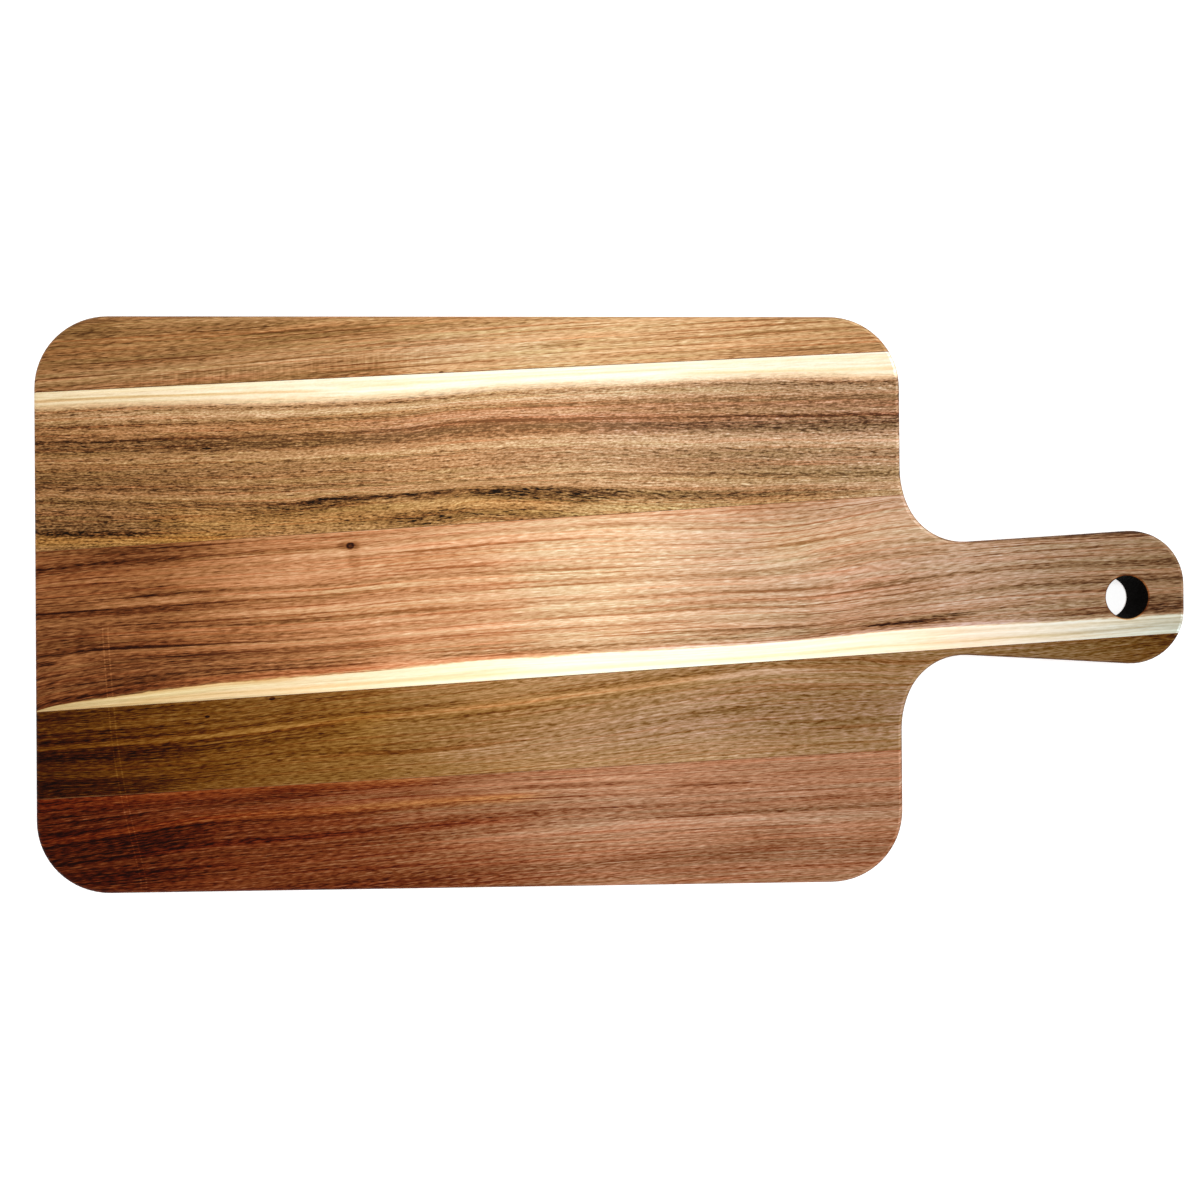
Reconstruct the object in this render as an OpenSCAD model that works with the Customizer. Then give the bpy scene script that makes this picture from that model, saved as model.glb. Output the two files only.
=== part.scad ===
// Paddle serving board, edge-glued from five wooden staves.
// X runs towards the handle, Y across the board and Z up out of the serving face.
// The origin lies under the middle of the board, on the face it rests on.

/* [Board] */
// Length of the wide blade
blade_length = 299; // [240:1:360]
// Width of the blade
blade_width = 198; // [180:1:220]
// Thickness of the board
thickness = 15; // [10:0.5:25]
// Radius of the blade's four corners
corner_r = 25; // [8:1:35]
// Radius of the eased edge round both faces
edge_r = 2; // [0.5:0.25:3]

/* [Handle] */
// Length of the handle beyond the blade
handle_length = 101; // [86:1:120]
// Width across the handle's end
handle_width = 47; // [42:1:56]
// Width across the neck, where the handle is narrowest
neck_width = 39.9; // [34:0.1:41.5]
// Angle by which the handle's sides, which are barely hollow, bend from the neck to the end
side_bend = 0.4; // [0.2:0.1:1]
// Radius of the handle's two end corners
handle_end_r = 19; // [8:0.5:20]
// Radius of the wide arc that turns the blade's end towards the handle
shoulder_r = 32; // [26:1:40]
// Turn of the wide arc
shoulder_turn = 24; // [10:1:40]
// Radius of the tighter arc that carries on into the handle
neck_r = 21.5; // [14:0.5:24]

/* [Hanging hole] */
// Diameter of the hole
hole_d = 15; // [8:0.5:20]
// Distance from the handle's end to the middle of the hole
hole_inset = 21; // [14:0.5:30]
// Bevel at both mouths of the hole
hole_bevel = 0.5; // [0.2:0.1:1.5]

/* [Glue lines] */
// Thickness of the glue between two staves
glue_t = 0.2; // [0.1:0.05:0.4]

/* [Hidden] */
$fn = 96;

// How far every cut runs past the wood, and how far a cut along an edge reaches out from it
overrun = 2;
cut_reach = 3 * overrun;
// How far a cut along an edge runs on past its end, where the edge bends away from it
lap = 1;
// Share of a straight side that is cut from each of its ends
side_share = 0.6;
// Share of a hollow arc's radius that is cut away inside it
hollow_share = 0.5;
// Places are split at these round steps, so that none of their digits is lost
far_step = 100;
near_step = 0.01;

// Half of the overall length and of the blade's width, and where the handle leaves the blade
half_length = (blade_length + handle_length) / 2;
half_width = blade_width / 2;
blade_end_x = blade_length - half_length;

// Centres of the blade's upper corners
free_corner = [corner_r - half_length, half_width - corner_r];
shoulder_corner = [blade_end_x - corner_r, half_width - corner_r];

// The handle's upper side is a chain of arcs that touch each other: the shoulder, the neck,
// the long hollow side and the end corner. First the places that give the side its slope.
arc_step = shoulder_r - neck_r;
end_corner = [half_length - handle_end_r, handle_width / 2 - handle_end_r];
neck_x = blade_end_x + shoulder_r - arc_step * cos(shoulder_turn);
neck_span = [end_corner.x - neck_x, neck_width / 2 + neck_r - end_corner.y];
side_slope = asin((neck_r + handle_end_r) / norm(neck_span)) - atan2(neck_span.y, neck_span.x);

// Angles at which the side leaves the neck and reaches the end corner, as round numbers
neck_flare = round((side_slope - side_bend / 2) / near_step) * near_step;
end_flare = neck_flare + side_bend;
neck_normal = [-sin(neck_flare), cos(neck_flare)];
end_normal = [-sin(end_flare), cos(end_flare)];

// Centres of the arcs
side_run = neck_span.x + handle_end_r * end_normal.x + neck_r * neck_normal.x;
side_r = side_run / (neck_normal.x - end_normal.x);
side_centre = end_corner + (handle_end_r + side_r) * end_normal;
neck_centre = side_centre - (side_r - neck_r) * neck_normal;
shoulder_centre = neck_centre + arc_step * [cos(shoulder_turn), sin(shoulder_turn)];

// Where the neck runs into the hollow side, at the handle's narrowest
side_start = neck_centre - neck_r * neck_normal;

// Where the four joints cross the blade's free end, as shares of the blade's width
// measured up from its lower side. The upper joint comes first.
joint_start_shares = [0.866, 0.591, 0.315, 0.165];

// Where the joints leave the blade beside the handle, as shares of its width. The third
// joint runs on into the handle: its place is a share of the neck's half width.
upper_joint_share = 0.938;
second_joint_share = 0.683;
neck_joint_share = 0.866;
lower_joint_share = 0.234;

joint_starts = [for (share = joint_start_shares) [-half_length, blade_y(share)]];
joint_ends = [
    [blade_end_x, blade_y(upper_joint_share)],
    [blade_end_x, blade_y(second_joint_share)],
    [side_start.x, -neck_joint_share * side_start.y],
    [blade_end_x, blade_y(lower_joint_share)]
];

function blade_y(share) = (share - 0.5) * blade_width;

// Slope of a joint, and its height where it crosses x. The side is 1 for the upper face
// of the glue, -1 for its lower face.
function joint_slope(i) = (joint_ends[i].y - joint_starts[i].y) / (joint_ends[i].x - joint_starts[i].x);
function joint_y(i, x, side) =
    joint_starts[i].y + joint_slope(i) * (x - joint_starts[i].x)
    + side * glue_t / 2 / cos(atan(joint_slope(i)));

// Heights of the strips' outer borders, clear of the board
function above_board(x) = half_width + overrun;
function below_board(x) = -half_width - overrun;

// Moves to a point in three steps, two by round numbers and the last by the small rest, so
// that neighbouring arcs and sides still meet exactly once the places are rounded
module place(point) {
    far = [for (value = point) round(value / far_step) * far_step];
    near = [for (value = point - far) round(value / near_step) * near_step];
    translate(far) translate(near) translate(point - far - near) children();
}

// What is cut away outside an edge of the board. Here x is outward from the edge and y is
// height, and both faces keep a quarter round.
module edge_waste(reach) {
    difference() {
        translate([-edge_r, -overrun]) square([edge_r + reach, thickness + 2 * overrun]);
        translate([-2 * edge_r, edge_r]) square([2 * edge_r, thickness - 2 * edge_r]);
        for (height = [edge_r, thickness - edge_r]) translate([-edge_r, height]) circle(edge_r);
    }
}

// Waste along a straight side between two points, for a side that faces an angle. It is cut
// from both points towards the middle, so that each end lies exactly where its arc begins.
// The laps are how far it runs on past its start and its end.
module side_waste(start, end, facing, laps) {
    run = norm(end - start) * side_share;
    place(start) rotate([90, 0, facing]) translate([0, 0, -laps[0]])
        linear_extrude(laps[0] + run) edge_waste(cut_reach);
    place(end) rotate([90, 0, facing]) translate([0, 0, -run])
        linear_extrude(run + laps[1]) edge_waste(cut_reach);
}

// Waste outside a round corner
module corner_waste(centre, radius, start, turn) {
    place(centre) rotate_extrude(angle = turn, start = start)
        translate([radius, 0]) edge_waste(radius + overrun);
}

// Waste inside a hollow arc, with laps as along a straight side
module hollow_waste(centre, radius, start, turn, reach, laps) {
    before = lap_turn(laps[0], radius);
    after = lap_turn(laps[1], radius);
    place(centre) rotate_extrude(angle = before + turn + after, start = start - before)
        place([radius, 0]) mirror([1, 0]) edge_waste(reach);
}

// Turn of an arc over a length, rounded up to a round number
function lap_turn(length, radius) = ceil(length / radius * 180 / PI / near_step) * near_step;

// All that is cut away round the board's upper half, from the blade's free end clockwise
module half_waste() {
    side_waste([-half_length, 0], [-half_length, free_corner.y], 180, [0, lap]);
    corner_waste(free_corner, corner_r, 90, 90);
    side_waste([free_corner.x, half_width], [shoulder_corner.x, half_width], 90, [lap, lap]);
    corner_waste(shoulder_corner, corner_r, 0, 90);
    side_waste([blade_end_x, shoulder_corner.y], [blade_end_x, shoulder_centre.y], 0, [lap, 0]);
    hollow_waste(shoulder_centre, shoulder_r, 180, shoulder_turn, hollow_share * shoulder_r, [lap, 0]);
    hollow_waste(neck_centre, neck_r, 180 + shoulder_turn, 90 + neck_flare - shoulder_turn,
        hollow_share * neck_r, [lap, lap]);
    hollow_waste(side_centre, side_r, 270 + neck_flare, end_flare - neck_flare, cut_reach, [0, lap]);
    corner_waste(end_corner, handle_end_r, 0, 90 + end_flare);
    side_waste([half_length, end_corner.y], [half_length, 0], 0, [lap, 0]);
}

// The board roughly sawn out, with an overrun of wood left all round
module rough_board() {
    arc_join = shoulder_centre - (shoulder_r - overrun) * [cos(shoulder_turn), sin(shoulder_turn)];
    rough_end_x = half_length + overrun;
    rough_side_y = handle_width / 2 + 2 * overrun;
    upper_points = [
        [-half_length - overrun, half_width + overrun],
        [blade_end_x + overrun, half_width + overrun],
        [blade_end_x + overrun, shoulder_centre.y],
        arc_join,
        side_start + overrun * neck_normal,
        [rough_end_x, rough_side_y]
    ];
    lower_points = [for (i = [len(upper_points) - 1:-1:0]) [upper_points[i].x, -upper_points[i].y]];
    linear_extrude(thickness) polygon(concat(upper_points, lower_points));
}

// Hole for hanging the board, with a bevel at both mouths
module hanging_hole() {
    hole_r = hole_d / 2;
    mouth_r = hole_r + hole_bevel + overrun;
    translate([half_length - hole_inset, 0]) rotate_extrude() polygon([
        [0, -overrun],
        [mouth_r, -overrun],
        [hole_r, hole_bevel],
        [hole_r, thickness - hole_bevel],
        [mouth_r, thickness + overrun],
        [0, thickness + overrun]
    ]);
}

// The whole board before it is divided into staves and glue
module board_body() {
    difference() {
        rough_board();
        half_waste();
        mirror([0, 1, 0]) half_waste();
        hanging_hole();
    }
}

// What lies between a lower and an upper border, each a function of x
module board_strip(lower, upper) {
    reach = half_length + overrun;
    intersection() {
        board_body();
        translate([0, 0, -overrun]) linear_extrude(thickness + 2 * overrun) polygon([
            [-reach, lower(-reach)],
            [reach, lower(reach)],
            [reach, upper(reach)],
            [-reach, upper(-reach)]
        ]);
    }
}

// Wood between two joints, and the glue that fills one joint
module stave(below, above) {
    board_strip(function(x) joint_y(below, x, 1), function(x) joint_y(above, x, -1));
}

module glue_line(i) {
    color("saddlebrown") board_strip(function(x) joint_y(i, x, -1), function(x) joint_y(i, x, 1));
}

// Golden tan stave along the blade's upper edge
module stave_1_upper_edge() {
    color("peru") board_strip(function(x) joint_y(0, x, 1), function(x) above_board(x));
}

// Stave with a cream upper border and a brown heart
module stave_2_upper() {
    color("tan") stave(1, 0);
}

// Pink-brown stave that carries the handle and its hole
module stave_3_handle() {
    color("rosybrown") stave(2, 1);
}

// Olive-brown stave, which also makes the handle's lower border
module stave_4_lower() {
    color("darkkhaki") stave(3, 2);
}

// Red-brown stave along the blade's lower edge
module stave_5_lower_edge() {
    color("sienna") board_strip(function(x) below_board(x), function(x) joint_y(3, x, -1));
}

stave_1_upper_edge();
stave_2_upper();
stave_3_handle();
stave_4_lower();
stave_5_lower_edge();
glue_line(0);  // glue_line_1_2
glue_line(1);  // glue_line_2_3
glue_line(2);  // glue_line_3_4
glue_line(3);  // glue_line_4_5
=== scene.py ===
import bpy
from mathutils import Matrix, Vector

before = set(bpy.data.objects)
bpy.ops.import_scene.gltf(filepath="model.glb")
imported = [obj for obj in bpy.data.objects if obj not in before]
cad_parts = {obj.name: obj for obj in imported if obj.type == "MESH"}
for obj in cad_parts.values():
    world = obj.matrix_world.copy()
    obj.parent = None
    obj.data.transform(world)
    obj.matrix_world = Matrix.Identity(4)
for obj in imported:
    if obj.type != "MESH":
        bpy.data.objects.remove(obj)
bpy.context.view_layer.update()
scene = bpy.context.scene

# Sizes in millimetres that the grain patterns use
MM_PER_M = 1000.0
THICKNESS = 15.0
HOLE_X = 179.0
HOLE_R = 7.5
HOLE_BEVEL = 0.5

# Curve that turns a screen level into linear light
TOP_LEVEL = 255.0
CURVE_FOOT = 0.04045
CURVE_SLOPE = 12.92
CURVE_OFFSET = 0.055
CURVE_POWER = 2.4

# Room that a traced line keeps above and below itself
TRACE_ROOM = 1.0


# Colour from screen levels of 0 to 255
def rgb(red, green, blue):
    def linear(level):
        share = level / TOP_LEVEL
        if share <= CURVE_FOOT:
            return share / CURVE_SLOPE
        return ((share + CURVE_OFFSET) / (1.0 + CURVE_OFFSET)) ** CURVE_POWER

    return (linear(red), linear(green), linear(blue), 1.0)


# Nodes of one material, with short names for their arithmetic
class Tree:
    def __init__(self, name):
        self.material = bpy.data.materials.new(name)
        self.material.use_nodes = True
        self.nodes = self.material.node_tree.nodes
        self.links = self.material.node_tree.links
        self.nodes.clear()

    def feed(self, socket, value):
        if isinstance(value, bpy.types.NodeSocket):
            self.links.new(value, socket)
        else:
            socket.default_value = value

    def split(self, vector):
        node = self.nodes.new("ShaderNodeSeparateXYZ")
        self.feed(node.inputs[0], vector)
        return tuple(node.outputs)

    # Place on the object in millimetres
    def place(self):
        coordinates = self.nodes.new("ShaderNodeTexCoord")
        return tuple(self.times(axis, MM_PER_M) for axis in self.split(coordinates.outputs["Object"]))

    # Direction that the surface faces
    def facing(self):
        return self.split(self.nodes.new("ShaderNodeNewGeometry").outputs["True Normal"])

    def math(self, operation, *values):
        node = self.nodes.new("ShaderNodeMath")
        node.operation = operation
        for socket, value in zip(node.inputs, values):
            self.feed(socket, value)
        return node.outputs[0]

    def add(self, *values):
        total = values[0]
        for value in values[1:]:
            total = self.math("ADD", total, value)
        return total

    def times(self, *values):
        product = values[0]
        for value in values[1:]:
            product = self.math("MULTIPLY", product, value)
        return product

    def minus(self, a, b):
        return self.math("SUBTRACT", a, b)

    def absolute(self, value):
        return self.math("ABSOLUTE", value)

    # A value between low and high, carried over to the range from to_low to to_high
    def fit(self, value, low, high, to_low=0.0, to_high=1.0, smooth=False):
        node = self.nodes.new("ShaderNodeMapRange")
        node.interpolation_type = "SMOOTHSTEP" if smooth else "LINEAR"
        settings = {"Value": value, "From Min": low, "From Max": high, "To Min": to_low, "To Max": to_high}
        for name, setting in settings.items():
            self.feed(node.inputs[name], setting)
        return node.outputs["Result"]

    # One at a line, falling softly to nothing at the width on either side of it
    def near(self, value, line, width):
        return self.fit(self.absolute(self.minus(value, line)), 0.0, width, 1.0, 0.0, smooth=True)

    # One between two places, falling to nothing over the fade beyond each
    def between(self, value, start, end, fade):
        middle = (start + end) / 2.0
        half = (end - start) / 2.0
        off = self.absolute(self.minus(value, middle))
        return self.fit(off, half, half + fade, 1.0, 0.0, smooth=True)

    # Nothing at the middle of an ellipse and one at its edge, growing as the square of the distance
    def ellipse(self, from_x, half_x, from_y, half_y):
        along = self.times(from_x, 1.0 / half_x)
        over = self.times(from_y, 1.0 / half_y)
        return self.add(self.times(along, along), self.times(over, over))

    # A smooth line through points (x, y), looked up at x
    def trace(self, x, points):
        x_low, x_high = points[0][0], points[-1][0]
        heights = [point[1] for point in points]
        y_low, y_high = min(heights) - TRACE_ROOM, max(heights) + TRACE_ROOM
        node = self.nodes.new("ShaderNodeFloatCurve")
        line = node.mapping.curves[0]
        scaled = [
            ((px - x_low) / (x_high - x_low), (py - y_low) / (y_high - y_low)) for px, py in points
        ]
        while len(line.points) < len(scaled):
            line.points.new(0.5, 0.5)
        for point, place in zip(line.points, scaled):
            point.location = place
            point.handle_type = "AUTO_CLAMPED"
        node.mapping.update()
        self.feed(node.inputs["Value"], self.fit(x, x_low, x_high))
        return self.fit(node.outputs["Value"], 0.0, 1.0, y_low, y_high)

    # Soft random field, seen at places that are already scaled
    def noise(self, x, y, z, detail=2.0):
        joined = self.nodes.new("ShaderNodeCombineXYZ")
        for socket, value in zip(joined.inputs, (x, y, z)):
            self.feed(socket, value)
        node = self.nodes.new("ShaderNodeTexNoise")
        node.inputs["Scale"].default_value = 1.0
        node.inputs["Detail"].default_value = detail
        self.feed(node.inputs["Vector"], joined.outputs[0])
        return node.outputs["Fac"]

    def ramp(self, value, stops):
        node = self.nodes.new("ShaderNodeValToRGB")
        elements = node.color_ramp.elements
        while len(elements) < len(stops):
            elements.new(1.0)
        for element, (place, colour) in zip(elements, stops):
            element.position = place
            element.color = colour
        self.feed(node.inputs["Fac"], value)
        return node.outputs["Color"]

    def blend(self, share, a, b, how="MIX"):
        node = self.nodes.new("ShaderNodeMix")
        node.data_type = "RGBA"
        node.blend_type = how
        self.feed(node.inputs["Factor"], share)
        self.feed(node.inputs["A"], a)
        self.feed(node.inputs["B"], b)
        return node.outputs["Result"]

    # A share of a stain: the colour is multiplied by it
    def stain(self, share, colour, multiplier):
        return self.blend(share, colour, (*multiplier, 1.0), "MULTIPLY")

    # Shader of a matte, slightly bumpy surface
    def surface(self, colour, roughness, height, bump_strength, bump_distance):
        shader = self.nodes.new("ShaderNodeBsdfPrincipled")
        self.feed(shader.inputs["Base Color"], colour)
        self.feed(shader.inputs["Roughness"], roughness)
        shader.inputs["Specular IOR Level"].default_value = SPECULAR_LEVEL
        bump = self.nodes.new("ShaderNodeBump")
        bump.inputs["Strength"].default_value = bump_strength
        bump.inputs["Distance"].default_value = bump_distance
        self.feed(bump.inputs["Height"], height)
        self.feed(shader.inputs["Normal"], bump.outputs["Normal"])
        return self.finish(shader)

    def finish(self, shader):
        output = self.nodes.new("ShaderNodeOutputMaterial")
        self.feed(output.inputs["Surface"], shader.outputs[0])
        return self.material


# Camera at the photograph's place, looking down on the board
camera_data = bpy.data.cameras.new("photo_camera")
camera_data.sensor_width = 36.0
camera_data.lens = 31.5
camera_data.clip_start = 0.01
camera = bpy.data.objects.new("photo_camera", camera_data)
camera.location = (-0.017948, -0.00058, 0.378650)
camera.rotation_euler = (0.00267, -0.03083, -0.00728)
scene.collection.objects.link(camera)
scene.camera = camera

# Colours are shown as they are, so that the pale floor stays white
scene.view_settings.view_transform = "Standard"
scene.view_settings.look = "None"

STAVES = ["stave_1_upper_edge", "stave_2_upper", "stave_3_handle", "stave_4_lower", "stave_5_lower_edge"]

# Tones of each wood, from its darkest line to its palest fibre
TONES = {
    "stave_1_upper_edge": [
        (46, 20, 6), (100, 64, 31), (142, 101, 58), (180, 134, 88), (214, 174, 126), (240, 210, 168),
    ],
    "stave_2_upper": [
        (20, 10, 3), (80, 48, 22), (130, 92, 52), (168, 124, 80), (200, 158, 114), (232, 198, 154),
    ],
    "stave_3_handle": [
        (36, 10, 2), (96, 50, 20), (148, 96, 54), (188, 132, 90), (218, 171, 130), (246, 216, 180),
    ],
    "stave_4_lower": [
        (16, 2, 0), (60, 20, 0), (102, 60, 8), (136, 97, 48), (170, 129, 86), (204, 166, 124),
    ],
    "stave_5_lower_edge": [
        (22, 2, 0), (74, 20, 0), (112, 54, 20), (146, 94, 60), (178, 124, 90), (206, 160, 126),
    ],
}

# How pale each wood is along the board, as (x, tone): partly the wood's own tone, partly painted light,
# darker towards the ends as painted shade and palest near the middle as a painted highlight
TONE_AND_PAINTED_LIGHT = {
    "stave_1_upper_edge": [
        (-200, 0.42), (-160, 0.46), (-100, 0.54), (-60, 0.67), (0, 0.74), (40, 0.70), (100, 0.60),
    ],
    "stave_2_upper": [
        (-200, 0.42), (-160, 0.46), (-100, 0.56), (-60, 0.63), (0, 0.68), (40, 0.63), (100, 0.60),
    ],
    "stave_3_handle": [
        (-200, 0.25), (-180, 0.25), (-160, 0.27), (-145, 0.38), (-127, 0.51), (-100, 0.60), (-60, 0.70),
        (0, 0.81), (40, 0.69), (80, 0.64), (120, 0.60), (160, 0.50), (200, 0.38),
    ],
    "stave_4_lower": [
        (-200, 0.17), (-165, 0.29), (-135, 0.40), (-100, 0.49), (-60, 0.61), (0, 0.72), (40, 0.71),
        (80, 0.63), (120, 0.60), (160, 0.49), (200, 0.28),
    ],
    "stave_5_lower_edge": [
        (-200, 0.15), (-165, 0.22), (-135, 0.30), (-100, 0.37), (-60, 0.52), (0, 0.70), (40, 0.66),
        (100, 0.66),
    ],
}

# Lines that the grain of each stave follows, from its upper joint to its lower one, as (x, y)
JOINTS = [
    [(-200, 99), (200, 99)],
    [(-200, 72.5), (99, 86.8), (200, 91.6)],
    [(-200, 17.9), (99, 36.3), (200, 42.5)],
    [(-200, -36.6), (99, -18.7), (200, -12.6)],
    [(-200, -66.2), (99, -52.7), (200, -48.1)],
    [(-200, -99), (200, -99)],
]
FLOW = {
    "stave_1_upper_edge": [
        [(-200, 87.5), (-130, 92), (-80, 96.5), (-20, 101), (80, 108), (200, 116)],
        [(-200, 74), (-140, 79), (-90, 83.5), (-20, 88.5), (80, 94.5), (200, 102)],
        [(-200, 60), (-140, 65), (-90, 69.5), (-20, 74.5), (80, 80.5), (200, 88)],
    ],
    "stave_2_upper": [
        JOINTS[1],
        [
            (-200, 67), (-154, 69), (-109, 69.5), (-68, 71.5), (-35, 74), (0, 76), (29, 77.5), (97, 79),
            (200, 82),
        ],
        [
            (-200, 55), (-146, 56.5), (-100, 58.5), (-78, 59.5), (-61, 61.5), (-37, 63), (31, 64),
            (99, 65), (200, 67),
        ],
        [
            (-200, 40), (-140, 39), (-100, 40), (-70, 41), (-45, 42), (-20, 43.5), (0, 44), (60, 43.5),
            (97, 43.5), (200, 47),
        ],
        [
            (-200, 35.5), (-169, 34.5), (-137, 34), (-114, 34.5), (-100, 36), (-77, 37), (-57, 39),
            (-45, 40), (-31, 39.5), (-3, 38), (31, 37), (64, 38), (98, 39), (200, 42),
        ],
        [
            (-200, 18), (-150, 18.5), (-100, 19.5), (-57, 22.5), (-45, 24), (0, 21.5), (60, 21.5),
            (98, 23), (200, 26),
        ],
    ],
    "stave_3_handle": [
        JOINTS[2],
        [
            (-200, 11.5), (-175, 14), (-124, 17.5), (-95, 19.5), (-61, 22.5), (-32, 25), (0, 26.5),
            (28, 26.5), (57, 27), (70, 28.5), (81, 30.5), (103, 34.5), (200, 41),
        ],
        [
            (-200, 0.5), (-162, 3), (-131, 5), (-100, 6.5), (-77, 8.5), (-37, 10.5), (0, 12), (30, 13),
            (54, 14.5), (71, 17), (102, 21), (141, 23), (200, 25.5),
        ],
        [
            (-200, -17), (-173, -14.5), (-143, -13.5), (-100, -11.5), (-77, -9.5), (-43, -7), (0, -4.5),
            (44, -2.5), (58, -2.5), (92, 0.5), (115, 3.5), (141, 6.5), (200, 9),
        ],
        [
            (-200, -36), (-192, -33.5), (-176, -31), (-139, -26.5), (-100, -24), (-57, -21),
            (-16, -18.5), (20, -17), (56, -15), (92, -11.5), (148, -8.5), (200, -5.5),
        ],
        JOINTS[3],
    ],
    "stave_4_lower": [
        [
            (-200, -37), (-143, -33), (-100, -28), (-57, -24.5), (-3, -18), (37, -13.5), (58, -12),
            (78, -12), (102, -14), (200, -9),
        ],
        [
            (-200, -49), (-143, -45), (-100, -40), (-57, -36.5), (-3, -30), (37, -25.5), (58, -24),
            (78, -24), (102, -25.5), (200, -19.5),
        ],
        [
            (-200, -59), (-173, -58.5), (-100, -53), (-63, -51), (-3, -44.5), (30, -40), (64, -38),
            (102, -36.5), (200, -31),
        ],
        [(-200, -70), (-100, -64), (-3, -58), (30, -55), (64, -53.5), (102, -52), (200, -46)],
    ],
    "stave_5_lower_edge": [
        JOINTS[4],
        [
            (-200, -81.5), (-170, -77), (-137, -72.5), (-100, -70.5), (-50, -67.5), (-2, -66),
            (44, -64.5), (99, -62.5), (200, -59),
        ],
        [
            (-200, -102.5), (-145, -99.5), (-77, -94.5), (-50, -92.5), (0, -89.5), (37, -87.5),
            (98, -85.5), (200, -82),
        ],
    ],
}
# How many millimetres each strip between two such lines counts across the grain
STRIPS = {
    "stave_1_upper_edge": [13, 14],
    "stave_2_upper": [6, 13, 18.5, 5.5, 16],
    "stave_3_handle": [5, 11, 15, 15, 5],
    "stave_4_lower": [12, 11, 12],
    "stave_5_lower_edge": [12, 24],
}
# How far the growth rings lean as they go down through the board, per millimetre
LEAN = {
    "stave_1_upper_edge": 0.9,
    "stave_2_upper": -0.4,
    "stave_3_handle": 0.3,
    "stave_4_lower": -0.6,
    "stave_5_lower_edge": -0.85,
}

# How far the grain lines sway to either side, in millimetres
SWAY = {
    "stave_1_upper_edge": 0.5,
    "stave_2_upper": 1.2,
    "stave_3_handle": 0.6,
    "stave_4_lower": 0.8,
    "stave_5_lower_edge": 0.6,
}

# Layers of grain, from broad bands to single pores, as waves per millimetre along, across and down
LAYERS = {
    "bands": (0.005, 0.12, 0.0),
    "rings": (0.007, 0.42, 0.0),
    "lines": (0.008, 1.35, 0.05),
    "fibres": (0.11, 2.0, 0.3),
    "dashes": (0.30, 1.9, 0.5),
    "specks": (0.9, 2.2, 0.9),
    "threads": (0.014, 1.0, 0.06),
}
# How much darker than its wood a line can be
DEEPEST = 0.34
# How short the fibres and the specks of each wood are, in waves per millimetre
SHORTNESS = {
    "stave_1_upper_edge": {"fibres": 0.035, "specks": 0.32},
    "stave_2_upper": {"fibres": 0.14, "specks": 0.9},
    "stave_3_handle": {"fibres": 0.03, "specks": 0.32},
    "stave_4_lower": {"fibres": 0.03, "specks": 0.35},
    "stave_5_lower_edge": {"fibres": 0.035, "specks": 0.35},
}
# How much the dashes and specks slant against the grain lines
SLANT = {
    "stave_1_upper_edge": 0.03,
    "stave_2_upper": 0.06,
    "stave_3_handle": 0.02,
    "stave_4_lower": 0.03,
    "stave_5_lower_edge": 0.02,
}
# Shift along the grain per wave across it, so that short fibres do not begin side by side
SHEAR = 0.37
# How strongly each layer shows in each wood
STRENGTH = {
    "stave_1_upper_edge": (0.20, 0.17, 0.50, 0.42, 0.30, 0.70, 1.15),
    "stave_2_upper": (0.15, 0.20, 0.28, 0.68, 0.54, 0.95, 0.30),
    "stave_3_handle": (0.12, 0.14, 0.49, 0.34, 0.18, 0.62, 0.82),
    "stave_4_lower": (0.14, 0.14, 0.44, 0.48, 0.26, 0.70, 0.45),
    "stave_5_lower_edge": (0.18, 0.22, 0.44, 0.54, 0.22, 0.80, 0.60),
}
# Wandering hue of each wood: a reddish and an olive stain
HUES = {
    "stave_1_upper_edge": ((1.05, 0.95, 0.91), (0.95, 1.00, 0.92)),
    "stave_2_upper": ((1.04, 0.97, 0.95), (0.97, 1.01, 0.92)),
    "stave_3_handle": ((1.04, 0.97, 0.94), (0.96, 1.01, 0.97)),
    "stave_4_lower": ((1.03, 0.98, 0.94), (0.99, 1.00, 0.92)),
    "stave_5_lower_edge": ((1.05, 0.94, 0.88), (0.95, 1.04, 1.04)),
}
# Change of colour towards the handle, as (from x, to x, multipliers)
PALING = {
    "stave_1_upper_edge": (-40, 90, (0.97, 1.02, 1.08)),
    "stave_2_upper": (-40, 80, (0.95, 1.07, 1.32)),
    "stave_3_handle": (0, 150, (0.88, 1.30, 2.05)),
    "stave_4_lower": (-40, 110, (0.90, 1.02, 1.50)),
    "stave_5_lower_edge": (-70, 60, (0.95, 1.06, 1.20)),
}

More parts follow.
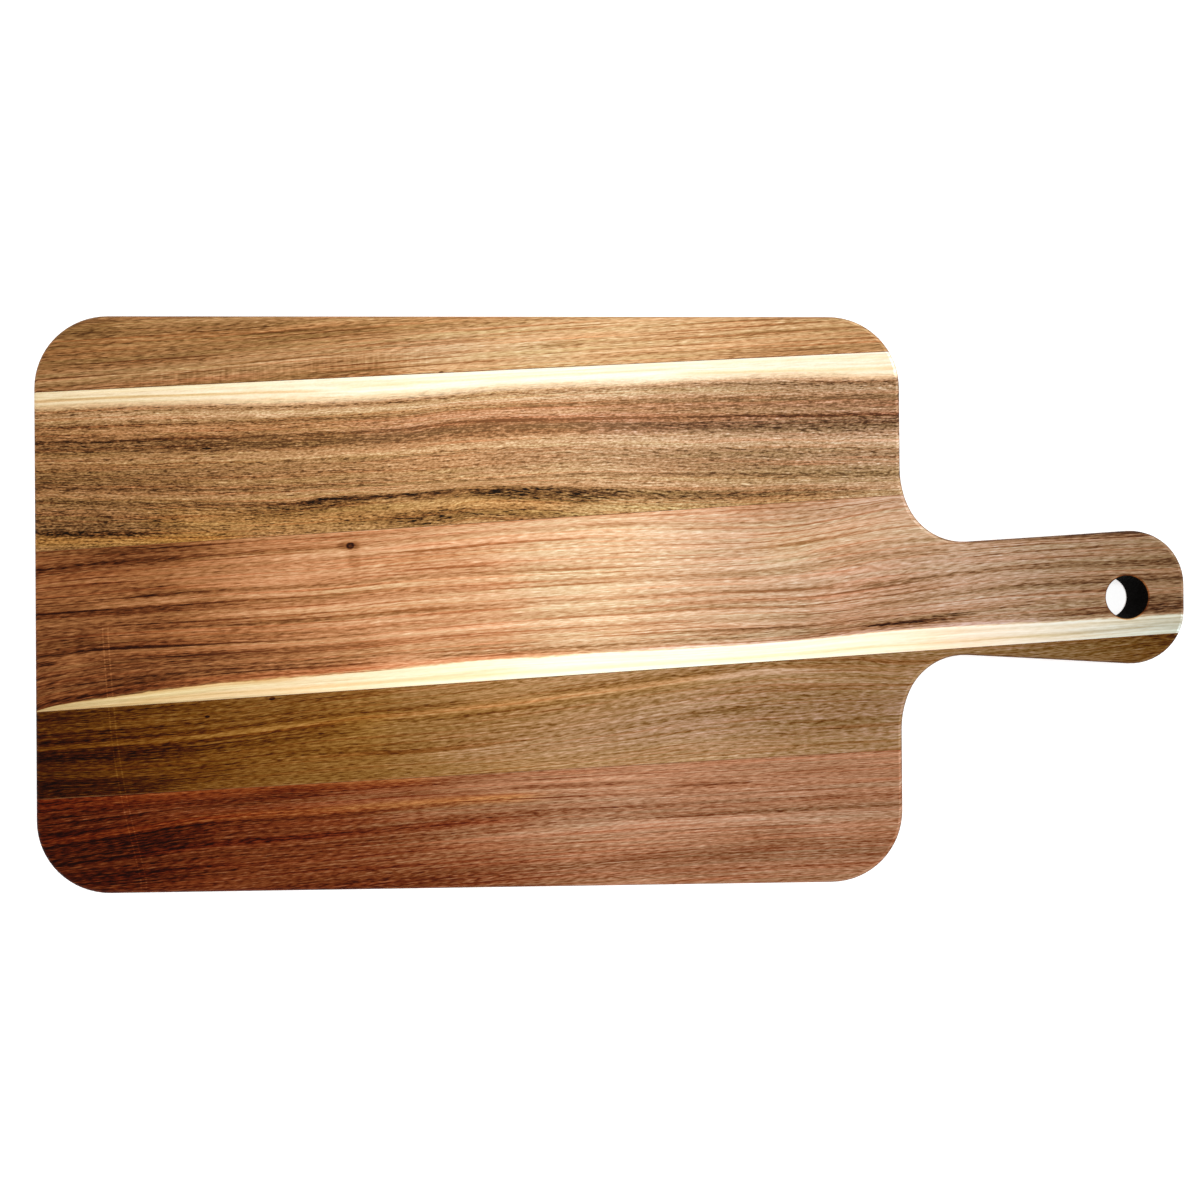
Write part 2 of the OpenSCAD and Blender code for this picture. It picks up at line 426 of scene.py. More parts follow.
# Single lines of the grain, as (place across, from x, to x, half its width, change of tone)
MARKS = {
    "stave_1_upper_edge": [
        (-6.5, -200, -180, 5.0, -0.14),
        (0.0, -200, -40, 0.8, -0.11),
        (1.0, -200, -184, 2.4, -0.08),
        (1.8, -120, -85, 2.4, -0.08),
        (2.6, -190, -20, 0.8, -0.09),
        (4.6, -150, -60, 0.6, -0.06),
        (5.6, -190, -70, 0.6, -0.07),
        (7.0, -200, -120, 3.0, -0.05),
        (7.4, -80, -15, 0.6, -0.10),
        (9.8, -200, -100, 0.7, -0.07),
        (11.0, -200, -110, 2.6, 0.09),
        (12.8, -200, -20, 0.8, -0.15),
        (13.0, -20, 100, 0.8, -0.14),
        (15.2, -40, 30, 0.5, -0.10),
        (17.5, -200, -84, 3.0, -0.16),
        (17.8, -20, 60, 0.6, -0.08),
        (19.8, 20, 100, 1.4, -0.09),
    ],
    "stave_2_upper": [
        (1.4, -180, 100, 0.4, -0.05),
        (2.6, -90, 10, 0.5, -0.09),
        (3.5, -200, -110, 0.5, -0.12),
        (4.5, 30, 100, 0.6, -0.11),
        (6.8, -200, 100, 1.3, 0.12),
        (8.2, -150, -50, 0.7, -0.05),
        (8.8, -30, 100, 0.7, -0.09),
        (9.2, -200, -160, 0.7, -0.07),
        (10.0, -172, -160, 2.0, 0.07),
        (10.0, -105, -90, 2.0, 0.05),
        (10.2, -200, -120, 2.4, 0.14),
        (10.2, -120, 0, 2.2, 0.09),
        (10.5, -200, -40, 1.6, 0.08),
        (13.6, -200, -80, 0.8, -0.12),
        (13.6, -30, 100, 0.9, -0.18),
        (15.8, -200, -145, 1.8, 0.13),
        (15.8, -175, -150, 2.2, 0.06),
        (15.8, 0, 100, 2.0, -0.18),
        (16.0, -200, -150, 1.8, -0.10),
        (16.0, -110, -80, 1.8, -0.05),
        (16.0, -60, 70, 1.2, 0.02),
        (17.6, -200, -120, 0.7, -0.12),
        (19.0, -200, -40, 0.6, -0.30),
        (19.3, -40, 100, 0.6, -0.36),
        (20.3, 5, 60, 0.5, 0.14),
        (21.0, -60, 30, 0.6, -0.09),
        (21.8, -200, 100, 2.4, -0.09),
        (21.8, -145, 100, 2.6, -0.12),
        (22.0, -200, 20, 2.0, -0.05),
        (26.0, -200, 60, 1.6, 0.06),
        (27.2, -200, 100, 0.5, 0.10),
        (28.5, 10, 100, 0.5, 0.10),
        (31.5, -40, 100, 2.0, -0.08),
        (32.0, -200, -90, 4.5, -0.05),
        (32.0, 70, 100, 5.0, 0.08),
        (35.0, -200, -150, 1.6, -0.10),
        (36.0, 20, 100, 2.2, -0.09),
        (36.4, -60, 60, 0.5, 0.12),
        (37.6, -200, 100, 0.7, -0.18),
        (40.5, -200, -80, 1.2, 0.06),
        (43.0, -200, -118, 0.9, -0.18),
        (43.3, -102, -60, 0.7, -0.24),
        (43.6, 0, 80, 1.5, -0.15),
        (44.0, -36, -12, 2.4, -0.10),
        (44.6, -62, -38, 1.0, -0.14),
        (49.0, -200, -182, 4.0, -0.08),
        (49.0, -168, -125, 4.0, 0.05),
        (49.0, -145, -105, 4.0, 0.10),
        (49.0, -140, 30, 4.0, 0.04),
        (49.0, -70, -30, 4.0, 0.07),
        (49.0, 0, 70, 3.0, 0.05),
        (51.0, -200, -155, 1.8, -0.08),
        (53.3, -200, -162, 0.9, -0.14),
    ],
    "stave_3_handle": [
        (0.3, -60, 0, 0.6, -0.15),
        (1.5, -80, 20, 0.7, -0.06),
        (2.0, -200, -188, 2.2, 0.10),
        (2.0, -190, -168, 2.2, -0.08),
        (2.2, -150, -70, 1.8, -0.08),
        (2.2, 20, 60, 1.8, -0.06),
        (4.8, -200, 0, 0.9, -0.18),
        (4.9, 0, 100, 0.8, -0.12),
        (8.6, -140, 0, 0.7, -0.10),
        (9.5, -200, -165, 3.4, 0.11),
        (9.5, -152, -148, 3.4, 0.06),
        (10.2, -140, -60, 1.6, -0.07),
        (12.0, -145, -85, 4.5, 0.05),
        (14.0, -100, 60, 0.5, -0.09),
        (14.9, -100, 40, 0.5, -0.10),
        (16.1, -160, 0, 0.7, -0.22),
        (16.6, 20, 110, 0.7, -0.12),
        (17.0, -200, -160, 3.0, 0.04),
        (17.6, 130, 200, 1.4, -0.29),
        (17.9, -150, -80, 0.9, 0.09),
        (18.0, -174, -154, 1.4, 0.18),
        (18.0, -70, -30, 1.2, 0.05),
        (18.0, 25, 60, 1.4, 0.06),
        (18.0, 75, 115, 1.6, -0.08),
        (19.7, -200, 110, 1.0, -0.15),
        (21.1, -170, 60, 0.7, -0.09),
        (23.0, -200, -60, 0.8, 0.06),
        (25.5, -200, -110, 4.0, -0.04),
        (26.0, -160, 70, 0.7, -0.20),
        (27.4, 90, 195, 0.8, -0.20),
        (28.0, -170, -146, 3.2, 0.15),
        (28.0, 10, 105, 8.0, -0.07),
        (29.3, -160, 60, 0.7, -0.11),
        (30.4, -180, 40, 1.4, -0.10),
        (31.4, -20, 60, 0.6, -0.17),
        (31.6, -200, -90, 0.7, -0.18),
        (33.2, -160, 80, 1.2, 0.08),
        (33.4, 90, 200, 0.9, -0.18),
        (34.5, -184, -150, 3.0, 0.10),
        (35.4, -140, -60, 0.7, -0.11),
        (36.0, -176, -90, 3.2, -0.12),
        (36.0, -150, 100, 3.0, -0.07),
        (36.0, -85, 10, 3.2, -0.04),
        (36.0, 60, 210, 3.6, -0.07),
        (38.0, -145, -85, 3.0, -0.06),
        (38.0, -100, 60, 1.4, 0.05),
        (39.8, 10, 60, 0.6, -0.27),
        (40.2, -130, -30, 0.7, -0.17),
        (41.0, -182, -152, 2.6, 0.05),
        (42.0, -150, -100, 0.6, -0.18),
        (43.0, -60, 40, 0.6, -0.26),
        (43.0, 70, 112, 2.6, -0.12),
        (43.2, -30, 60, 2.4, -0.04),
        (43.4, -160, -90, 2.4, -0.06),
        (43.5, -200, -145, 2.2, 0.12),
        (43.5, 30, 50, 2.2, 0.10),
        (43.8, -170, -90, 0.8, -0.11),
        (44.4, -40, 30, 0.5, -0.17),
        (45.3, 20, 140, 0.7, 0.10),
        (45.4, -200, -110, 0.6, -0.22),
        (46.8, -200, -120, 0.9, -0.12),
        (49.4, -160, 160, 0.5, -0.08),
    ],
    "stave_4_lower": [
        (2.4, -200, 40, 0.6, -0.06),
        (5.0, -200, -160, 3.0, 0.07),
        (5.0, -110, -85, 3.0, -0.05),
        (8.0, -200, -120, 0.7, -0.10),
        (10.6, -200, -60, 0.8, -0.15),
        (11.4, -20, 30, 1.2, -0.12),
        (12.6, -200, 60, 0.7, 0.14),
        (14.0, -200, -100, 0.7, -0.12),
        (14.2, -70, 90, 0.6, -0.12),
        (15.0, -200, -150, 2.6, -0.07),
        (15.0, -70, 10, 3.0, -0.05),
        (15.0, 60, 90, 3.0, 0.05),
        (16.4, -200, -100, 0.9, -0.15),
        (17.4, 0, 90, 0.8, -0.10),
        (19.4, -40, 0, 0.6, -0.11),
        (21.4, -110, -20, 0.7, -0.09),
        (23.0, -80, 60, 0.7, -0.09),
        (24.0, -62, -42, 4.0, 0.06),
        (25.0, -200, -140, 1.6, -0.10),
        (26.6, 0, 100, 0.6, -0.09),
        (28.5, -200, -160, 3.2, -0.12),
    ],
    "stave_5_lower_edge": [
        (0.5, -200, -70, 1.0, 0.14),
        (2.0, -200, -178, 2.0, -0.06),
        (2.0, 10, 100, 0.8, 0.10),
        (2.4, -145, -50, 2.0, -0.07),
        (2.8, -200, -130, 1.6, 0.12),
        (6.0, -200, -160, 2.0, 0.06),
        (6.0, -200, -110, 2.0, -0.11),
        (7.0, -60, 0, 2.6, 0.10),
        (7.4, 60, 100, 2.6, -0.06),
        (7.5, -200, -150, 2.6, 0.07),
        (7.5, -110, -80, 2.6, 0.05),
        (8.0, -35, 0, 0.8, -0.14),
        (9.0, -150, -90, 1.6, 0.05),
        (10.4, -40, 30, 0.7, 0.08),
        (10.8, 15, 40, 0.7, -0.12),
        (12.4, -70, 0, 0.8, 0.04),
        (12.6, -200, -90, 0.9, 0.14),
        (13.0, -200, -184, 1.4, -0.04),
        (13.0, -110, -85, 1.2, -0.06),
        (13.0, -60, -20, 1.2, -0.08),
        (13.0, -20, 20, 1.2, -0.07),
        (14.2, -200, -60, 0.9, -0.10),
        (17.5, -172, -90, 2.6, -0.06),
        (17.5, -62, -42, 2.6, 0.08),
        (17.5, -20, 60, 2.6, 0.07),
        (17.5, 60, 100, 2.6, 0.04),
        (17.9, -60, 100, 0.9, -0.14),
        (18.0, -200, -150, 4.0, -0.11),
        (20.6, -150, -60, 0.9, -0.17),
        (21.8, -200, -160, 0.8, -0.11),
        (21.9, 0, 100, 0.8, -0.15),
        (24.0, -30, 40, 1.0, 0.12),
        (25.6, -160, 100, 0.7, 0.10),
        (26.0, -180, -70, 4.0, -0.07),
        (27.2, -200, -150, 0.9, -0.09),
        (28.4, 0, 80, 0.7, 0.10),
        (30.0, -60, 60, 2.2, -0.06),
        (32.0, 55, 100, 4.0, -0.05),
        (36.8, -90, 50, 1.8, -0.08),
        (39.5, -115, 95, 6.5, -0.13),
    ],
}

# Mottled patches, as (x, place across, half their length, half their width, slant, change of tone)
PATCHES = {
    "stave_1_upper_edge": [
        (-150, -3.4, 45, 2.4, 0.0, -0.19),
        (-160, 5.0, 50, 3.4, 0.0, -0.05),
        (-35, 3.0, 40, 2.6, 0.0, -0.09),
        (70, 19.0, 35, 3.4, 0.0, -0.11),
    ],
    "stave_2_upper": [
        (-175, 20.5, 35, 2.4, 0.0, -0.06),
        (-90, 9.0, 60, 1.8, 0.0, -0.10),
        (60, 21.5, 60, 3.4, 0.0, -0.16),
        (60, 33.0, 60, 5.0, 0.0, -0.14),
        (80, 10.0, 40, 2.2, 0.0, -0.12),
        (-86, 43.3, 26, 1.3, -0.01, -0.26),
        (-52, 45.0, 26, 1.8, 0.05, -0.23),
        (-27, 45.3, 26, 2.9, -0.03, -0.36),
        (-112, 46.0, 25, 3.0, -0.08, -0.22),
        (-65, 51.8, 16, 2.8, 0.02, -0.32),
        (-35, 52.5, 18, 3.2, 0.0, -0.22),
        (20, 43.4, 60, 1.6, 0.0, -0.21),
        (-182, 53.2, 24, 1.1, 0.0, -0.29),
        (-120, 49.0, 60, 5.5, 0.0, -0.17),
        (-20, 49.0, 70, 5.5, -0.04, -0.13),
    ],
    "stave_3_handle": [
        (60, 1.6, 22, 2.6, 0.02, -0.12),
        (70, 42.0, 50, 4.0, 0.0, -0.19),
        (101, 42.8, 14, 0.8, 0.0, -0.46),
        (117, 41.2, 10, 0.5, 0.0, -0.32),
        (99, 45.0, 13, 0.5, 0.0, -0.28),
        (150, 42.0, 50, 4.0, 0.0, -0.17),
        (192, 42.5, 12, 3.5, 0.0, -0.24),
        (-20, 43.0, 45, 2.4, 0.0, -0.15),
        (-125, 42.0, 70, 2.6, 0.0, -0.13),
        (-185, 43.0, 30, 3.4, 0.0, -0.13),
        (-196, 34.0, 4, 0.8, 0.06, -0.26),
        (150, 27.0, 60, 8.0, 0.0, -0.09),
    ],
    "stave_4_lower": [
        (35, 21.8, 14, 0.9, 0.0, -0.26),
        (30, 10.0, 60, 2.4, 0.0, -0.09),
        (65, 24.0, 30, 8.0, 0.0, -0.09),
    ],
    "stave_5_lower_edge": [
        (-15, 8.2, 24, 1.6, 0.0, -0.18),
        (30, 10.6, 14, 1.2, 0.0, -0.26),
        (-25, 18.0, 50, 3.4, 0.0, -0.17),
        (50, 20.6, 50, 2.0, 0.0, -0.13),
    ],
}

# Faint pale ripple that crosses the grain, as (from x, to x, place across, half its width, strength)
RIPPLE = {"stave_1_upper_edge": (-155, -75, 14.0, 6.0, 0.34)}

# Two fine pale scratches side by side, as (y, x) of the first, and how much paler they are
SCRATCH = [(-94.7, -164.3), (-53.4, -172.9), (-32.8, -175.1), (-10.5, -176.7)]
SCRATCH_OFFSETS = [0.0, 1.8]
SCRATCH_WIDTH = 0.4
SCRATCH_CHANGE = 0.16

# Small round knots and pits, as (x, place across, half length, half width, change of tone)
PITS = {
    "stave_1_upper_edge": [(-61, 19.6, 0.9, 0.6, -0.4)],
    "stave_2_upper": [(-141, 22.6, 1.7, 0.4, -0.45)],
    "stave_3_handle": [
        (-92.6, 5.0, 1.4, 1.2, -0.40), (-92.4, 5.1, 0.8, 0.6, 0.20), (-93, 5.0, 4.0, 1.7, -0.16),
        (-91, 9.5, 2.2, 5.5, -0.09),
    ],
    "stave_4_lower": [(-119.5, 2.4, 1.1, 0.6, -0.35), (-141.5, 5.8, 0.9, 0.5, -0.35)],
    "stave_5_lower_edge": [],
}

# Stains, as (place across, from x, to x, half the width, red, green and blue multipliers)
STAINS = {
    "stave_1_upper_edge": [
        (0.0, -200, 20, 3.0, (1.02, 1.02, 0.98)),
        (10.5, -200, -60, 4.0, (1.0, 1.05, 1.14)),
        (15.0, -200, -130, 1.6, (1.04, 0.95, 1.0)),
        (12.0, -66, -30, 8.0, (1.0, 1.06, 1.14)),
    ],
    "stave_2_upper": [
        (9.8, -200, 200, 2.6, (1.0, 1.05, 1.14)),
        (16.0, -200, 100, 2.2, (1.06, 0.97, 0.96)),
        (31.0, -40, 100, 6.0, (0.98, 1.0, 1.06)),
        (18.5, -80, 200, 5.0, (1.02, 0.99, 1.12)),
        (19.3, -60, 200, 0.8, (1.08, 0.88, 0.80)),
        (22.5, 0, 200, 3.0, (1.0, 1.02, 1.16)),
        (49.0, -10, 30, 5.0, (1.0, 1.10, 1.20)),
        (49.5, -150, 60, 6.0, (1.03, 1.01, 0.80)),
        (55.5, -200, -140, 2.4, (1.06, 0.96, 0.62)),
    ],
    "stave_3_handle": [
        (45.0, -200, -20, 1.4, (1.06, 0.86, 0.78)),
        (18.0, -95, -10, 1.6, (1.0, 1.08, 1.08)),
        (25.0, -25, 60, 30.0, (0.97, 1.08, 1.12)),
        (43.0, -60, 60, 3.0, (0.99, 1.10, 1.16)),
        (45.3, 10, 140, 0.9, (1.04, 0.98, 1.08)),
        (13.0, 60, 115, 7.0, (1.0, 1.01, 0.91)),
    ],
    "stave_4_lower": [
        (12.6, -200, 20, 1.8, (1.06, 1.0, 0.84)),
        (17.0, -200, -90, 16.0, (1.0, 0.96, 0.72)),
        (24.0, -50, 200, 7.0, (1.0, 1.04, 1.26)),
        (4.0, 145, 200, 12.0, (1.0, 1.08, 1.28)),
    ],
    "stave_5_lower_edge": [
        (1.2, -200, -76, 3.0, (1.20, 1.0, 0.66)),
        (12.6, -200, -40, 1.8, (1.20, 1.06, 0.70)),
        (20.0, -80, 200, 9.0, (0.97, 1.10, 1.20)),
        (20.6, -160, -40, 1.4, (1.08, 0.90, 0.84)),
        (39.0, -60, 200, 6.0, (0.96, 1.05, 1.14)),
    ],
}

# Pale sapwood: its border as (x, place across), the side of it that is pale, how soft it is and how ragged
SAPWOOD = {
    "stave_2_upper": (
        [(-200, 5.8), (-120, 6.2), (-40, 5.8), (20, 6.8), (60, 6.2), (100, 7.0), (200, 7.0)],
        -1, 4.0, 1.8,
    ),
    "stave_3_handle": (
        [(-200, 48.5), (-185, 47.2), (-120, 46.6), (-60, 46.0), (60, 45.8), (200, 46.2)],
        1, 0.7, 1.0,
    ),
}
# How pale the sapwood is along the board, as (x, tone): partly its own tone, partly painted shade darker
# towards the ends and a painted highlight palest near the middle
SAPWOOD_TONE_AND_PAINTED_LIGHT = {
    "stave_2_upper": [
        (-200, 0.33), (-165, 0.43), (-125, 0.56), (-100, 0.64), (-50, 0.80), (0, 0.78), (42, 0.70),
        (77, 0.64), (100, 0.60),
    ],
    "stave_3_handle": [
        (-200, 0.04), (-165, 0.23), (-125, 0.39), (-97, 0.50), (-50, 0.71), (0, 0.86), (42, 0.80),
        (77, 0.70), (100, 0.62), (132, 0.45), (157, 0.34), (200, 0.19),
    ],
}
# Change of its colour, as (from x, to x, multipliers)
SAPWOOD_STAINS = {
    "stave_2_upper": [(-200, -199, (1.0, 1.0, 1.14)), (-40, 40, (1.0, 0.955, 0.99))],
    "stave_3_handle": [
        (-160, -130, (1.0, 0.99, 1.05)), (20, 100, (1.0, 0.97, 1.06)), (105, 190, (0.86, 1.22, 1.72)),
    ],
}
CREAM = [
    (0.0, (170, 140, 92)), (0.3, (220, 194, 146)), (0.6, (248, 231, 190)), (0.8, (253, 246, 212)),
    (1.0, (254, 252, 230)),
]

# A pair or a group of four below is a range as Tree.fit takes it: low and high, then what they become
# Fields of noise run from nothing to one, and this is their middle
NOISE_MIDDLE = 0.5
# Offsets between the seeds of one wood's fields
LAYER_SEED = 9.0
RIPPLE_SEED = 90.0
# Waves per millimetre of the sway, along the board and across it
SWAY_WAVES = (0.03, 0.3)
# Layers whose short strokes slant, and layers that are shifted along the grain
SLANTED = ("dashes", "specks")
SHEARED = ("fibres", "dashes", "specks", "threads")
# Part of each layer that shows as a soft field
FIELD_SHARE = {"bands": 1.0, "rings": 1.0, "fibres": 1.0, "specks": 1.0, "lines": 0.5}
# Strokes that stand out of a layer, as (layer, range of its values)
STROKES = {
    "dark_dash": ("dashes", 0.03, 0.16, 0.0, 1.0),
    "pale_dash": ("dashes", -0.16, -0.05, 1.0, 0.0),
    "thin_line": ("lines", 0.04, 0.15, 0.0, 1.0),
    "thread": ("threads", 0.06, 0.17, 0.0, 1.0),
}
# How much each kind of stroke changes the tone
STROKE_CHANGE = {"thin_line": -0.22, "thread": -0.26, "dark_dash": -0.5, "pale_dash": 0.25}
# Dark dashes crowd together in the dark rings
DASH_CROWDING = (-0.12, 0.12, 1.3, 0.6)
# Lifts every tone by what the dark strokes take away
TONE_LIFT = 0.042
# Single lines are broken up by the dashes, and no line is deeper than the deepest, with a soft limit
LINE_BREAKS = (-0.15, 0.15, 0.70, 1.20)
DEEPEST_BLEND = 0.10
# Lines and stains fade out across the grain over this many times half their width
SOFT_SIDE = 1.6
# How far lines and stains fade out beyond their ends, in millimetres
LINE_FADE = 14.0
STAIN_FADE = 20.0
# Patches are mottled by the fibres and dashes, and fade out between these two ellipses, as pits do
PATCH_DASHES = 0.6
PATCH_CROWDING = (-0.12, 0.16, 0.30, 1.20)
PATCH_EDGE = (0.2, 1.6)
PIT_EDGE = (0.3, 1.4)
# Waves of the ripple, and how far it fades out beyond its ends
RIPPLE_WAVES = (0.9, 0.10)
RIPPLE_FADE = 20.0
# How far the scratches fade out beyond their ends, and how the fibres break them
SCRATCH_FADE = 6.0
SCRATCH_BREAKS = (-0.12, 0.08)
# A broad and a fine field that the hue follows, as (waves along, across and down, seed offset, share)
HUE_FIELDS = [(0.008, 0.45, 0.0, 70.0, 0.6), (0.03, 1.3, 0.1, 80.0, 0.4)]
# Where in the hue's field each stain begins and where it is full
REDDISH = (0.50, 0.60)
OLIVE = (0.50, 0.40)
# Stain of the thin lines and threads
LINE_STAIN = (1.06, 0.89, 0.82)
LINE_STAIN_SHARE = 0.9
# Grain of the sapwood, and its own stains
SAPWOOD_GRAIN = {"rings": 0.3, "lines": 0.4, "fibres": 0.45, "specks": 0.25}
SAPWOOD_THREAD = -0.05
SAPWOOD_REDDISH = (1.0, 0.93, 0.84)
SAPWOOD_OLIVE = (0.97, 1.0, 0.94)
SAPWOOD_LINE = (1.0, 0.88, 0.72)
SAPWOOD_LINE_RANGE = (0.0, -0.12)
BORDER_STAIN = (1.0, 0.90, 0.72)
BORDER_STRENGTH = 3.2
# End grain: how squarely the surface faces along the board, its pores and its stain
END_FACING = (0.75, 0.97)
PORE_WAVES = (1.2, 1.6, 1.6)
PORE_RANGE = (0.42, 0.60, 0.35, 1.0)
END_STAIN = (0.50, 0.42, 0.38)
# Painted highlight on the rim beside the handle: how far the surface leans towards the handle and how far
# up it faces, and its paler colour
HIGHLIGHT_LEAN = (0.08, 0.15)
HIGHLIGHT_FLAT = (0.995, 0.985)
HIGHLIGHT_STEEP = (0.70, 0.80)
HIGHLIGHT_BREAKS = (-0.12, 0.06, 0.25, 1.0)
PAINTED_HIGHLIGHT = (1.50, 1.62, 1.85)
# Painted shade on the outermost line of the outline, full on the upper edge and fainter on the lower one
OUTLINE_STEEP = (0.72, 0.52)
OUTLINE_UPPER = (-0.30, 0.20, 0.25, 1.0)
OUTLINE_PAINTED_SHADE = (0.55, 0.42, 0.36)
# Hole: the stain of its rim and the painted shade of its wall, nearly black, in millimetres beyond its
# radius
RIM_SOFTNESS = 0.1
RIM_STAIN = (0.95, 0.58, 0.30)
WALL_EDGE = (0.1, 0.3)
PAINTED_SHADE_WALL = (6, 3, 1)
WALL_ROUGHNESS = 0.4
# Surface of the wood and of the glue, with bumps as (strength, height in metres)
SPECULAR_LEVEL = 0.05
WOOD_ROUGHNESS = (-0.15, 0.15, 0.50, 0.62)
WOOD_BUMP = (0.25, 0.0003)
DASH_BUMP = -0.15
GLUE_WAVES = (0.3, 0.3, 0.6)
GLUE_DETAIL = 3.0
GLUE_RANGE = (0.3, 0.7)
GLUE_TONES = ((70, 40, 18), (128, 88, 50))
GLUE_ROUGHNESS = (0.4, 0.55)
GLUE_BUMP = (0.2, 0.0002)


# Distance across the grain in millimetres, counted down from the upper joint along the flow lines
def across_grain(tree, name, x, y):
    lines = [tree.trace(x, points) for points in FLOW[name]]
    last = len(STRIPS[name]) - 1
    across = 0.0
    for i, strip in enumerate(STRIPS[name]):
        share = tree.math("DIVIDE", tree.minus(lines[i], y), tree.minus(lines[i], lines[i + 1]))
        if i > 0:
            share = tree.math("MAXIMUM", share, 0.0)
        if i < last:
            share = tree.math("MINIMUM", share, 1.0)
        across = tree.add(across, tree.times(share, float(strip)))
    return across


# Layers of grain, each centred on nothing
def grain_layers(tree, name, x, v, depth, seed):
    layer = {}
    for i, (title, (along, over, down)) in enumerate(LAYERS.items()):
        along = SHORTNESS[name].get(title, along)
        tilt = SLANT[name] if title in SLANTED else 0.0
        shear = SHEAR if title in SHEARED else 0.0
        slanted = tree.times(tree.add(v, tree.times(x, -tilt)), over)
        start = tree.add(tree.times(x, along), tree.times(slanted, shear))
        field = tree.noise(start, slanted, tree.add(tree.times(depth, down), seed + LAYER_SEED * i))
        layer[title] = tree.minus(field, NOISE_MIDDLE)
    return layer


# Tone of the plain grain, built on the tone along the board with its painted shade and painted highlight
def grain_tone(tree, name, tone_and_painted_light, layer, stroke):
    strength = dict(zip(LAYERS, STRENGTH[name]))
    tone = tree.add(tone_and_painted_light, TONE_LIFT)
    for title, share in FIELD_SHARE.items():
        tone = tree.add(tone, tree.times(layer[title], share * strength[title]))
    for kind, change in STROKE_CHANGE.items():
        part = stroke[kind]
        if kind == "dark_dash":
            part = tree.times(part, tree.fit(layer["rings"], *DASH_CROWDING))
        tone = tree.add(tone, tree.times(part, change * strength[STROKES[kind][0]]))
    return tone


# Change of tone by the single lines
def single_lines(tree, name, x, v):
    lines = 0.0
    for place, start, end, half, change in MARKS[name]:
        share = tree.times(tree.near(v, place, SOFT_SIDE * half), tree.between(x, start, end, LINE_FADE))
        lines = tree.add(lines, tree.times(share, change))
    return lines


# Tone with the mottled patches
def add_patches(tree, name, tone, x, v, layer):
    patches = 0.0
    for patch_x, place, half_length, half, slant, change in PATCHES[name]:
        from_x = tree.minus(x, patch_x)
        centre = tree.add(tree.times(from_x, slant), place)
        reach = tree.ellipse(from_x, half_length, tree.minus(v, centre), half)
        patches = tree.add(patches, tree.fit(reach, *PATCH_EDGE, change, 0.0, smooth=True))
    mottling = tree.add(layer["fibres"], tree.times(layer["dashes"], PATCH_DASHES))
    return tree.add(tone, tree.times(patches, tree.fit(mottling, *PATCH_CROWDING)))


# Tone with the small knots and pits
def add_pits(tree, name, tone, x, across):
    for pit_x, place, half_length, half, change in PITS[name]:
        reach = tree.ellipse(tree.minus(x, pit_x), half_length, tree.minus(across, place), half)
        tone = tree.add(tone, tree.fit(reach, *PIT_EDGE, change, 0.0, smooth=True))
    return tone


# Tone with the ripple across the grain
def add_ripple(tree, name, tone, x, v, seed):
    start, end, place, half, change = RIPPLE[name]
    along, over = RIPPLE_WAVES
    field = tree.noise(tree.times(x, along), tree.times(v, over), seed + RIPPLE_SEED)
    share = tree.times(tree.between(x, start, end, RIPPLE_FADE), tree.near(v, place, half))
    return tree.add(tone, tree.times(tree.minus(field, NOISE_MIDDLE), share, change))


# Tone with the pale scratches
def add_scratches(tree, tone, x, y, fibres):
    first, last = SCRATCH[0][0], SCRATCH[-1][0]
    for offset in SCRATCH_OFFSETS:
        beside = tree.absolute(tree.minus(x, tree.add(tree.trace(y, SCRATCH), offset)))
        scratch = tree.fit(beside, 0.0, SCRATCH_WIDTH, SCRATCH_CHANGE, 0.0)
        scratch = tree.times(scratch, tree.between(y, first, last, SCRATCH_FADE))
        tone = tree.add(tone, tree.times(scratch, tree.fit(fibres, *SCRATCH_BREAKS)))
    return tone


# Field that wanders between a reddish and an olive hue along the lines
def wandering_hue(tree, x, v, depth, seed):
    hue = 0.0
    for along, over, down, offset, share in HUE_FIELDS:
        place = tree.add(tree.times(depth, down), seed + offset)
        field = tree.noise(tree.times(x, along), tree.times(v, over), place)
        hue = tree.add(hue, tree.times(field, share))
    return hue


# Heartwood's colour with its hue and its stains
def stained(tree, name, colour, x, v, hue, stroke):
    reddish, olive = HUES[name]
    colour = tree.stain(tree.fit(hue, *REDDISH), colour, reddish)
    colour = tree.stain(tree.fit(hue, *OLIVE), colour, olive)
    fine_lines = tree.math("MAXIMUM", stroke["thin_line"], stroke["thread"])
    colour = tree.stain(tree.times(fine_lines, LINE_STAIN_SHARE), colour, LINE_STAIN)
    start, end, paling = PALING[name]
    colour = tree.stain(tree.fit(x, start, end), colour, paling)
    for place, start, end, half, multiplier in STAINS[name]:
        share = tree.times(tree.near(v, place, SOFT_SIDE * half), tree.between(x, start, end, STAIN_FADE))
        colour = tree.stain(share, colour, multiplier)
    return colour


# Sapwood's colour with its grain and its stains
def cream_wood(tree, name, x, layer, stroke, lines, hue):
    # Sapwood tone along the board, with painted shade towards the ends and a painted highlight near the
    # middle
    tone = tree.trace(x, SAPWOOD_TONE_AND_PAINTED_LIGHT[name])
    for title, strength in SAPWOOD_GRAIN.items():
        tone = tree.add(tone, tree.times(layer[title], strength))
    tone = tree.add(tone, tree.times(stroke["thread"], SAPWOOD_THREAD), lines)
    cream = tree.ramp(tone, [(place, rgb(*shade)) for place, shade in CREAM])
    cream = tree.stain(tree.fit(hue, *REDDISH), cream, SAPWOOD_REDDISH)
    cream = tree.stain(tree.fit(hue, *OLIVE), cream, SAPWOOD_OLIVE)
    cream = tree.stain(tree.fit(lines, *SAPWOOD_LINE_RANGE), cream, SAPWOOD_LINE)
    for start, end, multiplier in SAPWOOD_STAINS[name]:
        cream = tree.stain(tree.fit(x, start, end), cream, multiplier)
    return cream


